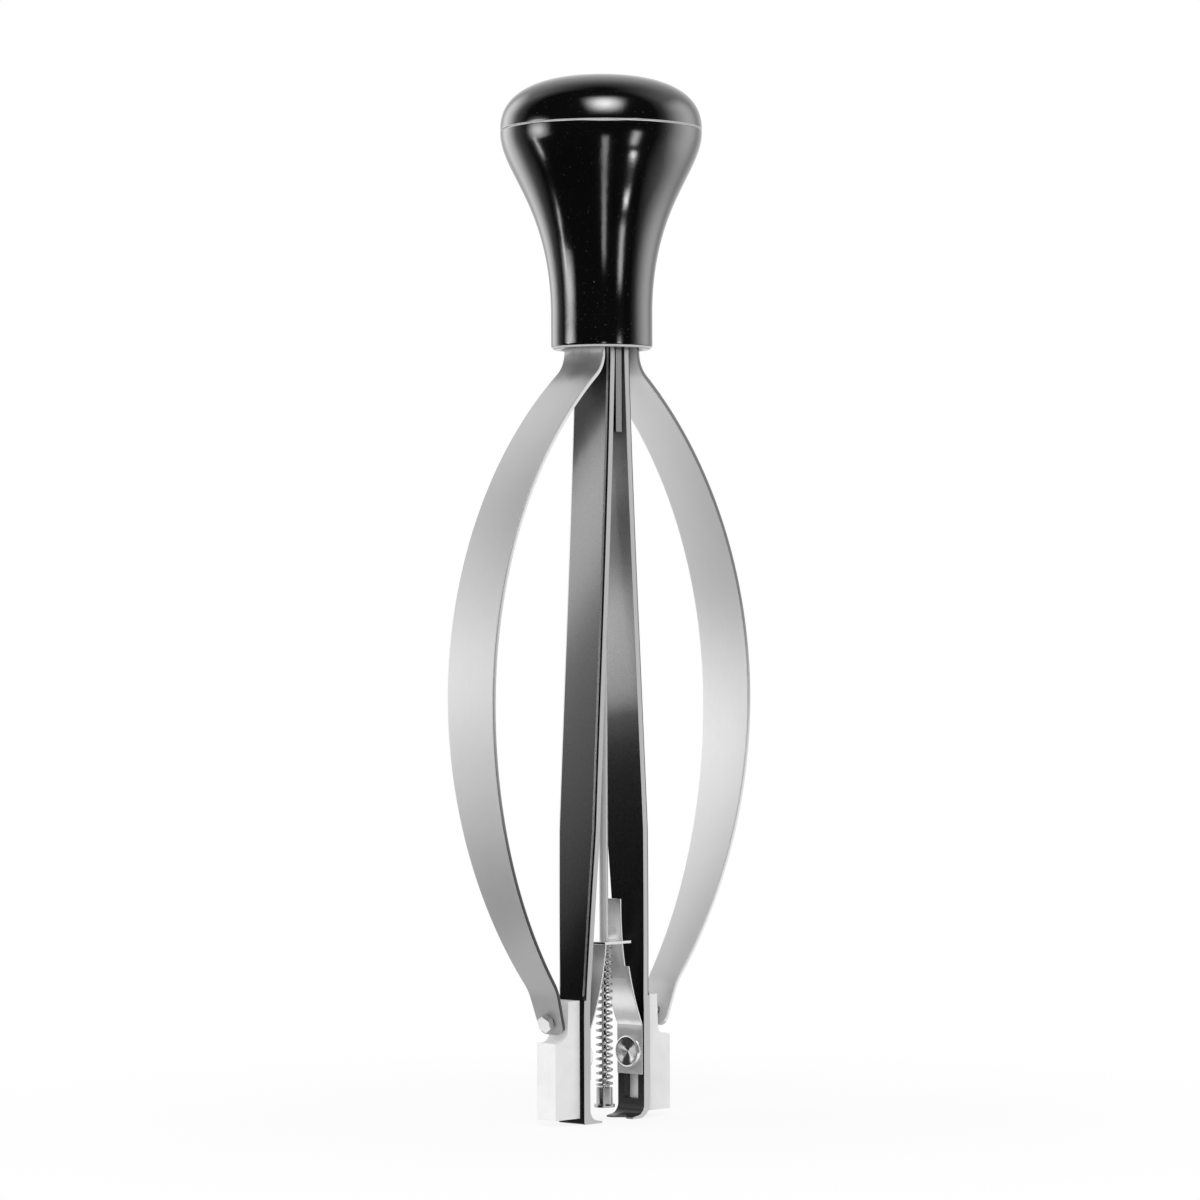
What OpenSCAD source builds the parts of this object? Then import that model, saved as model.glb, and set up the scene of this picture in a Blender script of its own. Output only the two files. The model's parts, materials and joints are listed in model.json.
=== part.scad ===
// Clock hand remover: a palm knob carries two hooked arms that lift the hand, and
// two bowed springs that push a pair of plastic feet down on to the dial.
// X runs from the left arm to the right arm, Y across the strips, Z up the tool.
// The origin is under the middle of the tool, level with the soles of the hooks.

/* [Knob] */
// Height of the top of the knob above the soles of the hooks
overall_h = 187; // [180:0.5:200]
// Length of the knob from its mouth to its crown
knob_len = 49; // [46:0.5:56]
// Greatest radius of the knob
knob_r = 18.1; // [16:0.1:20]
// Height of the crown above the widest place
crown_h = 10; // [10:0.1:11]
// Squareness of the crown, 2 for an ellipse
crown_power = 2.5; // [2:0.1:3]
// Radius of the neck at the mouth
neck_r = 9.1; // [8.8:0.05:10]
// Length of the straight neck
neck_len = 7.1; // [6:0.1:9]
// Depth of the cap from the crown down to its seam
cap_h = 9.7; // [8.5:0.1:9.7]
// Radius of the socket that takes the strips
socket_r = 7.2; // [7.15:0.05:7.6]
// Depth of the socket
socket_depth = 21; // [20.5:0.1:23]
// Thickness of the web between the socket and the upper hollow
web_t = 5; // [4:0.1:6]
// Radius of the upper hollow that holds the nut
hollow_r = 8; // [7.5:0.1:8.5]
// Wall of the cap
cap_wall = 2.4; // [1.5:0.1:3]
// Depth of the spigot that locates the cap in the knob
spigot_h = 3; // [2:0.1:4]
// Width of the fine groove along the seam of the cap
seam_w = 0.25; // [0.15:0.05:0.3]

/* [Tang and its fastening] */
// Thickness of the tang between the arms
tang_t = 1.5; // [1.4:0.05:1.8]
// Thickness of the tang where the arms are riveted to it
tang_root_t = 2.3; // [2:0.05:2.4]
// Width of the tang
tang_w = 8.2; // [7.6:0.1:8.8]
// How far the tang reaches below the mouth of the knob
tang_below = 14.8; // [10:0.1:18]
// Radius of the threaded stud on the tang
stud_r = 2; // [1.6:0.05:2.4]
// Thickness of the nut on the stud
nut_h = 3.2; // [2.5:0.1:3.6]
// Width of the nut across its flats
nut_af = 7; // [6:0.1:8]
// Radius of the washer under the nut
washer_r = 4.8; // [4.2:0.1:6]
// Thickness of the washer
washer_t = 0.8; // [0.5:0.05:1.2]
// Radius of the rivets through the roots of the arms
rivet_r = 1; // [0.8:0.05:1.15]
// Distance between the two rivets
rivet_pitch = 4.8; // [4.4:0.1:5]
// Height of the rivets above the mouth of the knob
rivet_above = 11; // [9:0.1:13]
// Radius of a rivet's head
rivet_head_r = 1.6; // [1.3:0.05:1.65]
// Height of a rivet's head
rivet_head_h = 0.6; // [0.4:0.05:0.65]

/* [Arms] */
// Thickness of an arm
arm_t = 1.6; // [1.4:0.05:1.65]
// Width of an arm at its root
arm_root_w = 8.6; // [8:0.1:9.2]
// Width of an arm where its foot part begins to narrow
arm_mid_w = 8.9; // [8.2:0.1:9.2]
// Width of an arm at its foot
arm_foot_w = 6.4; // [6:0.1:6.8]
// Clear distance between the two arms at their feet
jaw_w = 14.12; // [13.6:0.02:14.8]
// Height where an arm begins to narrow
arm_waist_z = 52; // [46:0.5:56]
// Height where an arm has narrowed to the width of its foot
arm_narrow_z = 22; // [18:0.5:26]
// Height below which an arm is straight
arm_straight_z = 19.5; // [19.2:0.1:21]
// How far below the mouth of the knob an arm begins to lean out
arm_lean_drop = 2; // [0:0.5:6]
// Gap between the root of an arm and the root of the tang
root_gap = 0.12; // [0.1:0.01:0.25]
// How much an arm eases in and out of its lean, 0 for a straight lean
arm_ease = 0.35; // [0:0.05:0.5]

/* [Hooks] */
// Clear distance between the tips of the two hooks
tip_gap = 8; // [7:0.1:9]
// Thickness of a hook at its tip
tip_t = 0.3; // [0.2:0.05:0.5]
// Thickness of a hook behind its tip
hook_t = 0.5; // [0.4:0.05:0.55]
// Outer bend radius of the right hook
right_bend_r = 2.8; // [2:0.1:3]
// Outer bend radius of the left hook
left_bend_r = 0.5; // [0.3:0.1:1]
// Radius of the hollow inside a hook
hook_hollow_r = 2; // [1.5:0.05:2.1]
// Depth of the notch in a hook's tip
notch_d = 1.4; // [0.8:0.1:1.6]
// Width of the notch at the tip
notch_w = 3.4; // [2.8:0.1:3.8]

/* [Feet and their screws] */
// Width of a foot block
block_w = 4.5; // [4.2:0.1:5]
// Thickness of the lower part of a foot block
block_t = 6.3; // [6:0.1:6.8]
// Thickness of the upper part of a foot block at its shoulder
block_neck_t = 3.1; // [3:0.1:3.6]
// Thickness of the upper part of a foot block at its top
block_top_t = 2.9; // [2.7:0.1:3.1]
// Height of a foot's sole above the soles of the hooks
sole_z = 1.1; // [0.8:0.1:1.4]
// Height of the shoulder of a foot block
shoulder_z = 14.7; // [14.2:0.1:15]
// Height of the top of a foot block
block_top_z = 22; // [21.4:0.1:23]
// Radius of the hollow corner at the shoulder
shoulder_r = 1.8; // [1:0.1:2]
// Gap between a foot block and its arm
block_gap = 0.12; // [0.08:0.01:0.2]
// Height of the guide screws at rest
screw_z = 11.9; // [11.7:0.05:12.1]
// Radius of a guide screw's shank
shank_r = 1.6; // [1.4:0.05:1.7]
// Radius of a guide screw's head
screw_head_r = 2.85; // [2.5:0.05:2.95]
// Height of a guide screw's head
screw_head_h = 0.8; // [0.7:0.05:1]
// Depth of the dish in a guide screw's head
screw_dish = 0.45; // [0.2:0.05:0.5]
// Radius of a guide screw's thread in the block
thread_r = 1.25; // [1:0.05:1.35]
// Length of a guide screw's thread
thread_len = 4; // [3:0.1:4.6]
// Running gap between a guide screw and the sides of its slot
slot_gap = 0.1; // [0.05:0.01:0.15]
// Travel of the feet down the arms
feet_travel = 5; // [4:0.1:5.1]
// Spare length at the lower end of a slot
slot_spare = 1.8; // [1:0.1:2]

/* [Leaf springs] */
// Thickness of a leaf
leaf_t = 0.4; // [0.3:0.02:0.45]
// Width of a leaf
leaf_w = 6; // [5.6:0.1:6.4]
// Width of the tongue at the top of the right leaf
tongue_w = 4.1; // [3.6:0.1:4.4]
// Height of the shoulders below the tongue
tongue_z = 27.5; // [26.6:0.1:28.4]
// Height of the top of the tongue
tongue_top_z = 39.6; // [38.6:0.1:41]
// Distance of the tongue from the middle of the tool
tongue_x = 2.25; // [2.15:0.05:2.4]
// Height where a leaf bends away from its arm
leaf_bend_z = 16.7; // [16.2:0.1:17.2]
// Height of the lower end of a leaf
leaf_foot_z = 7.8; // [7.7:0.1:8.2]

/* [Ejector] */
// Radius of the guide tube
tube_r = 0.8; // [0.72:0.01:0.84]
// Radius of the plunger pin
pin_r = 0.5; // [0.45:0.01:0.55]
// Running gap between the pin and the tube
pin_gap = 0.04; // [0.02:0.01:0.08]
// Height of the underside of the spring seat
seat_z = 31.6; // [31:0.1:32.4]
// Thickness of the spring seat
seat_t = 0.5; // [0.4:0.05:0.6]
// Width of the spring seat
seat_w = 6; // [5.4:0.1:6.4]
// Reach of the spring seat to the left
seat_left = 3; // [2.9:0.05:3.3]
// Reach of the spring seat to the right
seat_right = 4; // [3.8:0.05:4.05]
// Clearance around the tongue in the spring seat
seat_clear = 0.2; // [0.15:0.01:0.25]
// Height of the mouth of the ejector cup
cup_z = 2.3; // [2.2:0.05:2.6]
// Height of the ejector cup
cup_h = 3.6; // [3.4:0.1:3.9]
// Outer radius of the ejector cup
cup_r = 1.45; // [1.35:0.01:1.5]
// Radius of the cup's flange
flange_r = 1.85; // [1.7:0.05:2]
// Thickness of the cup's flange
flange_t = 0.6; // [0.4:0.05:0.7]
// Radius of the bore that goes over the end of the clock's arbor
arbor_r = 1; // [0.8:0.05:1.05]
// Depth of that bore
arbor_depth = 2.6; // [2.2:0.1:2.8]
// Mean radius of the coil spring
coil_r = 1.33; // [1.25:0.01:1.4]
// Diameter of the spring wire
wire_d = 0.45; // [0.35:0.01:0.5]
// Number of turns of the coil spring
coil_turns = 21; // [16:1:24]

/* [Bows] */
// Thickness of a bow
bow_t = 0.88; // [0.8:0.02:1]
// Greatest distance of a bow from the middle of the tool
bow_out = 33.5; // [31:0.1:35]
// Height of that place
bow_mid_z = 75; // [72:0.5:78]
// Distance of a bow's root from the middle of the tool
bow_root_x = 4.5; // [4.45:0.05:4.6]
// Bend radius where a bow leaves its root
root_bend_r = 5.5; // [4:0.1:6.5]
// Distance of that bend's centre below the mouth of the knob
root_bend_drop = 0.64; // [0.2:0.02:1.6]
// Bend radius above a bow's bolt
foot_bend_r = 9; // [5:0.5:12]
// Distance of that bend's centre above the bolt, along the bow
foot_bend_rise = 4.26; // [2:0.02:6]
// Lean of a bow at its bolt, in degrees
bow_foot_lean = 18; // [15:0.5:21]
// Greatest width of a bow
bow_w = 11.1; // [10.4:0.1:11.6]
// Height of the widest place
bow_wide_z = 82; // [78:0.5:86]
// Width of a bow at the mouth of the knob
bow_root_w = 9.3; // [8.8:0.1:9.4]
// Width of a bow at its bolt
bow_foot_w = 6; // [5.4:0.1:6.4]
// Gap between the rigid halves of a bow
bow_gap = 0.3; // [0.26:0.02:0.4]
// Height of a bow's upper pivot inside the mouth
pivot_in = 2; // [1.6:0.1:2.6]
// Gap at the upper pivot of a bow
pivot_gap = 0.6; // [0.5:0.05:0.8]
// Distance of a bow's bolt from the middle of the tool
bolt_x = 13.9; // [13.6:0.1:14.2]
// Height of a bow's bolt
bolt_z = 18.6; // [18.3:0.1:19]
// Length of a bow below its bolt
bow_tail = 2.4; // [2.2:0.1:2.6]
// Corner radius at the lower end of a bow
bow_corner_r = 1.4; // [0.8:0.1:2]
// Radius of a bow bolt
bolt_r = 1; // [0.8:0.05:1.1]
// Width of a bolt head across its flats
bolt_af = 2.8; // [2.6:0.1:3.2]
// Height of a bolt head
bolt_head_h = 1.2; // [1:0.1:1.5]
// Slack under a bolt head that lets the bow rock
bolt_slack = 0.28; // [0.26:0.01:0.34]
// Play of a bow's hole around its bolt
bolt_play = 0.2; // [0.15:0.01:0.3]
// Depth of a bolt in its block
bolt_depth = 3.4; // [3:0.1:3.6]

/* [Hidden] */

// Facets of round parts, and steps along the curves
round_fn = 64;
curve_steps = 20;
// Gap between pieces that are pressed or screwed together
seat_gap = 0.02;
// Length of a cut that runs clear of a part
through = 60;

mouth_z = overall_h - knob_len;
wide_z = overall_h - crown_h;
seam_z = overall_h - cap_h;
socket_top_z = mouth_z + socket_depth;
web_top_z = socket_top_z + web_t;
pivot_z = mouth_z + rivet_above;
bow_pivot_z = mouth_z + pivot_in;

arm_root_x = tang_root_t / 2 + root_gap + arm_t / 2;
arm_foot_x = jaw_w / 2 + arm_t / 2;
arm_lean_z = mouth_z - arm_lean_drop;
arm_top_z = pivot_z + rivet_r + 2.6;
slot_w = 2 * (shank_r + slot_gap);

block_x = arm_foot_x + arm_t / 2 + block_gap;
leaf_flat_x = jaw_w / 2 - seat_gap - leaf_t / 2;
leaf_face_x = leaf_flat_x - leaf_t / 2;

tang_top_z = socket_top_z - seat_gap;
tang_slot_top_z = pivot_z + 1.5;
tang_root_z = pivot_z - 4;
tube_top_z = pivot_z - 5;
pin_head_h = 1;
spacer_x0 = arm_root_x + arm_t / 2 + 0.12;
spacer_x1 = bow_root_x - bow_t / 2;
bow_root_z = bow_pivot_z + pivot_gap;
bow_root_top_z = pivot_z + 5;

lean_dir = [sin(bow_foot_lean), cos(bow_foot_lean)];
lean_out = [cos(bow_foot_lean), -sin(bow_foot_lean)];
root_bend = [bow_root_x + root_bend_r, mouth_z - root_bend_drop];
foot_bend = [bolt_x, bolt_z] + foot_bend_r * lean_out + foot_bend_rise * lean_dir;

// Radius of the knob's outline at a height t of 0 to 1 up its crown
function crown_point(t) =
    [knob_r * pow(cos(90 * t), 2 / crown_power),
     wide_z + crown_h * pow(sin(90 * t), 2 / crown_power)];

// Point of the cubic curve through a and d with handles b and c
function cubic(a, b, c, d, t) =
    pow(1 - t, 3) * a + 3 * pow(1 - t, 2) * t * b + 3 * (1 - t) * t * t * c + pow(t, 3) * d;

// Outline of the knob below its widest place, from the mouth up
function flare_point(t) =
    let (low = mouth_z + neck_len)
    cubic([neck_r, low], [neck_r + 0.28, low + 19], [knob_r, wide_z - 7.2], [knob_r, wide_z], t);

// Eased share of the way, for a share u
function eased(u, ease) = u * (1 - ease) + ease * u * u * (3 - 2 * u);

// Distance of an arm's middle from the middle of the tool at a height
function arm_x(z) =
    let (u = max(0, min(1, (arm_lean_z - z) / (arm_lean_z - arm_straight_z))))
    arm_root_x + (arm_foot_x - arm_root_x) * eased(u, arm_ease);

// Width of an arm at a height
function arm_width(z) =
    z > arm_waist_z
        ? arm_mid_w + (arm_root_w - arm_mid_w) * (z - arm_waist_z) / (arm_top_z - arm_waist_z)
        : arm_foot_w + (arm_mid_w - arm_foot_w)
            * max(0, min(1, (z - arm_narrow_z) / (arm_waist_z - arm_narrow_z)));

// Distance of a leaf's middle from the middle of the tool at a height
function leaf_x(z) =
    z < leaf_bend_z ? leaf_flat_x
        : let (u = min(1, (z - leaf_bend_z) / (tongue_top_z - leaf_bend_z)))
          tongue_x + (leaf_flat_x - tongue_x) * pow(1 - u, 2.3);

// Unit vector across a path at its point i, to the right of its direction
function across(path, i) =
    let (a = path[max(0, i - 1)], b = path[min(len(path) - 1, i + 1)], d = b - a)
    [d[1], -d[0]] / norm(d);

// Line that runs beside a path, a distance t to the right of its direction
function beside(path, t) = [for (i = [0 : len(path) - 1]) path[i] + across(path, i) * t];

function backwards(list) = [for (i = [len(list) - 1 : -1 : 0]) list[i]];

// Outline of a strip of thickness t whose middle follows a path
function strip_outline(path, t) = concat(beside(path, t / 2), backwards(beside(path, -t / 2)));

function arc(centre, r, a0, a1, steps) =
    [for (i = [0 : steps]) let (a = a0 + (a1 - a0) * i / steps) centre + r * [cos(a), sin(a)]];

// Radius of the arc that is upright at the middle of a bow and runs into the
// bend of radius r round a centre
function bow_radius(centre, r) =
    let (a = centre[0] - bow_out, h = centre[1] - bow_mid_z)
    (a * a + h * h - r * r) / (2 * (r - a));

function direction(v) = atan2(v[1], v[0]);

bow_upper_r = bow_radius(root_bend, root_bend_r);
bow_lower_r = bow_radius(foot_bend, foot_bend_r);
upper_centre = [bow_out - bow_upper_r, bow_mid_z];
lower_centre = [bow_out - bow_lower_r, bow_mid_z];
root_angle = direction(root_bend - upper_centre);
foot_angle = direction(foot_bend - lower_centre);

// Middle line of a bow from its upper pivot down to its middle
bow_upper_path = concat(
    [[bow_root_x, bow_pivot_z]],
    arc(root_bend, root_bend_r, 180, 180 + root_angle, 8),
    arc(upper_centre, bow_upper_r, root_angle * (1 - 1 / curve_steps), bow_gap / 2 / bow_upper_r * 57.3,
        curve_steps)
);

// Middle line of a bow from its middle down to its lower end
bow_lower_path = concat(
    arc(lower_centre, bow_lower_r, -bow_gap / 2 / bow_lower_r * 57.3, foot_angle * (1 - 1 / curve_steps),
        curve_steps),
    arc(foot_bend, foot_bend_r, 180 + foot_angle, 180 - bow_foot_lean, 6),
    [[bolt_x, bolt_z] - bow_tail * lean_dir]
);

// Width of a bow at a height, a smooth swell that is widest at bow_wide_z
function bow_width(z) =
    z > bow_wide_z
        ? bow_w - (bow_w - bow_root_w) * pow((z - bow_wide_z) / (mouth_z - bow_wide_z), 2)
        : bow_w - (bow_w - bow_foot_w) * pow((bow_wide_z - z) / (bow_wide_z - bolt_z), 2);

// Closed outline, in Y and Z, of a strip whose width at a height is given as pairs
function width_outline(pairs) =
    concat(
        [for (p = pairs) [p[1] / 2, p[0]]],
        [for (i = [len(pairs) - 1 : -1 : 0]) [-pairs[i][1] / 2, pairs[i][0]]]
    );

// Extrudes an outline in X and Z by a width w, centred on Y
module across_tool(w) {
    rotate([90, 0, 0])
        translate([0, 0, -w / 2])
            linear_extrude(w)
                children();
}

// Extrudes an outline in Y and Z along the whole of +X
module along_x(reach) {
    rotate([90, 0, 90])
        linear_extrude(reach)
            children();
}

// A round rod of radius r from x0 to x1
module rod_x(r, x0, x1) {
    translate([x0, 0, 0])
        rotate([0, 90, 0])
            cylinder(r = r, h = x1 - x0, $fn = round_fn);
}

module left() {
    mirror([1, 0, 0])
        children();
}

// Knob
module handle_body() {
    outline = concat(
        [[socket_r, mouth_z], [neck_r - 0.5, mouth_z], [neck_r - 0.1, mouth_z + 0.5]],
        [for (i = [0 : curve_steps]) flare_point(i / curve_steps)],
        [
            [knob_r, seam_z - seam_w],
            [knob_r - 0.3, seam_z],
            [hollow_r, seam_z],
            [hollow_r, web_top_z],
            [stud_r + seat_gap, web_top_z],
            [stud_r + seat_gap, socket_top_z],
            [socket_r, socket_top_z]
        ]
    );
    color("#141415")
        rotate_extrude($fn = round_fn)
            polygon(outline);
}

module handle_cap() {
    seam_t = 1 - acos(pow((seam_z + seam_w - wide_z) / crown_h, crown_power / 2)) / 90;
    crown = [for (i = [0 : curve_steps]) crown_point(seam_t + (1 - seam_t) * i / curve_steps)];
    inner_r = hollow_r - cap_wall;
    outline = concat(
        [[inner_r, seam_z - spigot_h], [hollow_r - seat_gap, seam_z - spigot_h], [hollow_r - seat_gap, seam_z]],
        [[crown[0][0] - 0.3, seam_z]],
        [for (i = [0 : curve_steps - 1]) crown[i]],
        [[0, overall_h], [0, overall_h - cap_wall], [inner_r, overall_h - cap_wall - 1]]
    );
    color("#161617")
        rotate_extrude($fn = round_fn)
            polygon(outline);
}

module handle_washer() {
    color("silver")
        translate([0, 0, web_top_z])
            difference() {
                cylinder(r = washer_r, h = washer_t, $fn = round_fn);
                translate([0, 0, -1])
                    cylinder(r = stud_r + 0.1, h = washer_t + 2, $fn = round_fn);
            }
}

module handle_nut() {
    color("silver")
        translate([0, 0, web_top_z + washer_t])
            difference() {
                cylinder(d = nut_af / cos(30), h = nut_h, $fn = 6);
                translate([0, 0, -1])
                    cylinder(r = stud_r + seat_gap, h = nut_h + 2, $fn = round_fn);
            }
}

// Tang, its slot for the guide tube, and the stud that holds the knob
module tang() {
    low = mouth_z - tang_below;
    color("#8f9092") {
        difference() {
            union() {
                translate([-tang_t / 2, -tang_w / 2, low])
                    cube([tang_t, tang_w, tang_top_z - low]);
                translate([-tang_root_t / 2, -tang_w / 2, tang_root_z])
                    cube([tang_root_t, tang_w, tang_top_z - tang_root_z]);
            }
            translate([-tang_root_t, -tube_r, low - 1])
                cube([2 * tang_root_t, 2 * tube_r, tang_slot_top_z - low + 1]);
            for (side = [-1, 1])
                translate([0, side * rivet_pitch / 2, pivot_z])
                    rod_x(rivet_r, -through / 2, through / 2);
        }
        translate([0, 0, tang_top_z - 2])
            cylinder(r = stud_r + 1, h = 2, $fn = round_fn);
        translate([0, 0, tang_top_z])
            cylinder(r = stud_r, h = web_t + washer_t + nut_h + 1, $fn = round_fn);
    }
}

module root_rivets() {
    outer = bow_root_x + bow_t / 2;
    color("silver")
        for (side = [-1, 1])
            translate([0, side * rivet_pitch / 2, pivot_z]) {
                rod_x(rivet_r, -outer, outer);
                rod_x(rivet_head_r, outer, outer + rivet_head_h);
                left() rod_x(rivet_head_r, outer, outer + rivet_head_h);
            }
}

// Spacer between the root of an arm and the root of its bow
module spacer() {
    difference() {
        translate([spacer_x0, -tang_w / 2, tang_root_z])
            cube([spacer_x1 - spacer_x0, tang_w, bow_root_top_z - tang_root_z]);
        for (side = [-1, 1])
            translate([0, side * rivet_pitch / 2, pivot_z])
                rod_x(rivet_r, 0, through);
    }
}

module left_spacer() {
    color("#77787a") left() spacer();
}

module right_spacer() {
    color("#77787a") spacer();
}

// Arm with its slot and its hook, on the right
module arm(bend_r) {
    inner_x = arm_foot_x - arm_t / 2;
    outer_x = arm_foot_x + arm_t / 2;
    tip_x = tip_gap / 2;
    hollow = [inner_x - hook_hollow_r, hook_t + hook_hollow_r];
    steps = 36;
    path = concat(
        [[arm_root_x, arm_top_z]],
        [for (i = [0 : steps])
            let (z = arm_lean_z + (arm_straight_z - arm_lean_z) * i / steps) [arm_x(z), z]],
        [[arm_foot_x, arm_straight_z - 3]]
    );
    outline = concat(
        beside(path, arm_t / 2),
        arc(hollow, hook_hollow_r, 360, 270, 10),
        [[tip_x, tip_t], [tip_x, 0]],
        arc([outer_x - bend_r, bend_r], bend_r, -90, 0, 8),
        backwards(beside(path, -arm_t / 2))
    );
    widths = [for (z = [arm_top_z, arm_waist_z, arm_narrow_z, -1]) [z, arm_width(z)]];
    slot_low = screw_z - feet_travel - slot_spare - slot_w / 2;
    difference() {
        intersection() {
            across_tool(2 * arm_root_w) polygon(outline);
            along_x(through) polygon(width_outline(widths));
        }
        translate([0, 0, screw_z + slot_gap])
            rod_x(slot_w / 2, 0, through);
        translate([0, -slot_w / 2, slot_low])
            cube([through, slot_w, screw_z + slot_gap - slot_low]);
        for (side = [-1, 1])
            translate([0, side * rivet_pitch / 2, pivot_z])
                rod_x(rivet_r + 0.08, 0, through);
        translate([tip_x + notch_d, 0, -1])
            rotate([0, 0, 180])
                linear_extrude(hook_t + 2)
                    polygon([[0, 0], [notch_d + 1, -notch_w / 2 * (1 + 1 / notch_d)],
                        [notch_d + 1, notch_w / 2 * (1 + 1 / notch_d)]]);
    }
}

module left_arm() {
    color("#3c3d3f") left() arm(left_bend_r);
}

module right_arm() {
    color("#2c2d2f") arm(right_bend_r);
}

// Plastic foot that slides down the outside of an arm, on the right
module block() {
    neck_x = block_x + block_neck_t;
    face_x = block_x + block_t;
    bolt_seat = [bolt_x, 0, bolt_z];
    outline = concat(
        [[block_x, sole_z], [block_x, block_top_z], [block_x + block_top_t, block_top_z],
            [neck_x, shoulder_z + shoulder_r]],
        arc([neck_x + shoulder_r, shoulder_z + shoulder_r], shoulder_r, 180, 270, 6),
        [[face_x, shoulder_z], [face_x, sole_z]]
    );
    difference() {
        across_tool(block_w) polygon(outline);
        translate([0, 0, screw_z])
            rod_x(thread_r, block_x - 1, block_x + thread_len + 0.3);
        translate(bolt_seat)
            rotate([0, bow_foot_lean, 0])
                rod_x(bolt_r, -bow_t / 2 - bolt_depth - 0.2, 5);
    }
}

module left_block() {
    color("#f2f2ee") left() block();
}

module right_block() {
    color("#f2f2ee") block();
}

// Leaf spring between the guide screw and the spring seat, on the right
module leaf(top_z) {
    steps = 16;
    path = concat(
        [[leaf_flat_x, leaf_foot_z]],
        [for (i = [0 : steps]) let (z = leaf_bend_z + (top_z - leaf_bend_z) * i / steps) [leaf_x(z), z]]
    );
    difference() {
        across_tool(leaf_w) polygon(strip_outline(path, leaf_t));
        translate([0, 0, screw_z])
            rod_x(shank_r + seat_gap, 0, through);
    }
}

module left_leaf() {
    color("#c9cacc")
        left()
            difference() {
                leaf(seat_z + 1);
                translate([0, -leaf_w, seat_z - seat_gap])
                    cube([through, 2 * leaf_w, through]);
            }
}

module right_leaf() {
    color("#c9cacc")
        difference() {
            leaf(tongue_top_z);
            for (side = [-1, 1])
                translate([0, side * (tongue_w / 2 + leaf_w) - leaf_w, tongue_z])
                    cube([through, 2 * leaf_w, through]);
        }
}

// Guide screw: head on the leaf, shank in the arm's slot, thread in the block
module guide_screw() {
    head_x = leaf_face_x - screw_head_h;
    translate([0, 0, screw_z])
        rotate([0, 90, 0])
            rotate_extrude($fn = round_fn)
                polygon([
                    [0, head_x + screw_dish],
                    [screw_head_r - 0.35, head_x],
                    [screw_head_r - 0.12, head_x],
                    [screw_head_r, head_x + 0.12],
                    [screw_head_r, leaf_face_x],
                    [shank_r, leaf_face_x],
                    [shank_r, block_x - seat_gap],
                    [thread_r - seat_gap, block_x - seat_gap],
                    [thread_r - seat_gap, block_x + thread_len],
                    [0, block_x + thread_len]
                ]);
}

module left_guide_screw() {
    color("#d5d6d8") left() guide_screw();
}

module right_guide_screw() {
    color("#d5d6d8") guide_screw();
}

// Hexagon bolt that holds the lower end of a bow, square to the bow
module bow_bolt() {
    seat = bow_t / 2 + bolt_slack;
    translate([bolt_x, 0, bolt_z])
        rotate([0, bow_foot_lean, 0]) {
            rod_x(bolt_r - seat_gap, -bow_t / 2 - bolt_depth, seat);
            translate([seat, 0, 0])
                rotate([0, 90, 0])
                    cylinder(d = bolt_af / cos(30), h = bolt_head_h, $fn = 6);
        }
}

module left_bow_bolt() {
    color("#e6e6e4") left() bow_bolt();
}

module right_bow_bolt() {
    color("#e6e6e4") bow_bolt();
}

// End of a bow that is held in the knob
module bow_root() {
    difference() {
        translate([bow_root_x - bow_t / 2, -bow_root_w / 2, bow_root_z])
            cube([bow_t, bow_root_w, bow_root_top_z - bow_root_z]);
        for (side = [-1, 1])
            translate([0, side * rivet_pitch / 2, pivot_z])
                rod_x(rivet_r, 0, through);
    }
}

// Rigid stretch of a bow along a path, cut to the bow's width
module bow_strip(path) {
    high = path[0][1] + 2;
    low = path[len(path) - 1][1] - 2;
    widths = [for (i = [0 : curve_steps])
        let (z = high + (low - high) * i / curve_steps) [z, bow_width(min(z, mouth_z))]];
    intersection() {
        across_tool(2 * bow_w) polygon(strip_outline(path, bow_t));
        along_x(through) polygon(width_outline(widths));
    }
}

module bow_lower() {
    corner_y = bow_width(bolt_z - bow_tail) / 2 - bow_corner_r;
    difference() {
        bow_strip(bow_lower_path);
        translate([bolt_x, 0, bolt_z])
            rotate([0, bow_foot_lean, 0]) {
                rod_x(bolt_r + bolt_play, -2, 2);
                for (side = [0, 1])
                    mirror([0, side, 0])
                        difference() {
                            translate([-2, corner_y, -bow_tail - 1])
                                cube([4, bow_w, bow_corner_r + 1]);
                            translate([0, corner_y, bow_corner_r - bow_tail])
                                rod_x(bow_corner_r, -3, 3);
                        }
            }
    }
}

module left_bow_root() {
    color("#b9babc") left() bow_root();
}

module right_bow_root() {
    color("#b9babc") bow_root();
}

module left_bow_upper() {
    color("#b9babc") left() bow_strip(bow_upper_path);
}

module right_bow_upper() {
    color("#b9babc") bow_strip(bow_upper_path);
}

module left_bow_lower() {
    color("#b9babc") left() bow_lower();
}

module right_bow_lower() {
    color("#b9babc") bow_lower();
}

// Tube that is fixed in the tang and guides the plunger
module guide_tube() {
    color("#c4c5c7")
        translate([0, 0, seat_z])
            difference() {
                cylinder(r = tube_r, h = tube_top_z - seat_z, $fn = round_fn);
                translate([0, 0, -1])
                    cylinder(r = pin_r + pin_gap, h = tube_top_z - seat_z + 2, $fn = round_fn);
            }
}

// Seat of the coil spring, staked on the end of the tube, with a slot for the tongue
module spring_seat() {
    slot_x = [tongue_x - leaf_t / 2 - seat_clear, leaf_x(seat_z) + leaf_t / 2 + seat_clear];
    color("#dcdddf")
        difference() {
            translate([-seat_left, -seat_w / 2, seat_z])
                cube([seat_left + seat_right, seat_w, seat_t]);
            translate([0, 0, seat_z - 1])
                cylinder(r = tube_r, h = seat_t + 2, $fn = round_fn);
            translate([slot_x[0], -tongue_w / 2 - seat_clear, seat_z - 1])
                cube([slot_x[1] - slot_x[0], tongue_w + 2 * seat_clear, seat_t + 2]);
        }
}

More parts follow.
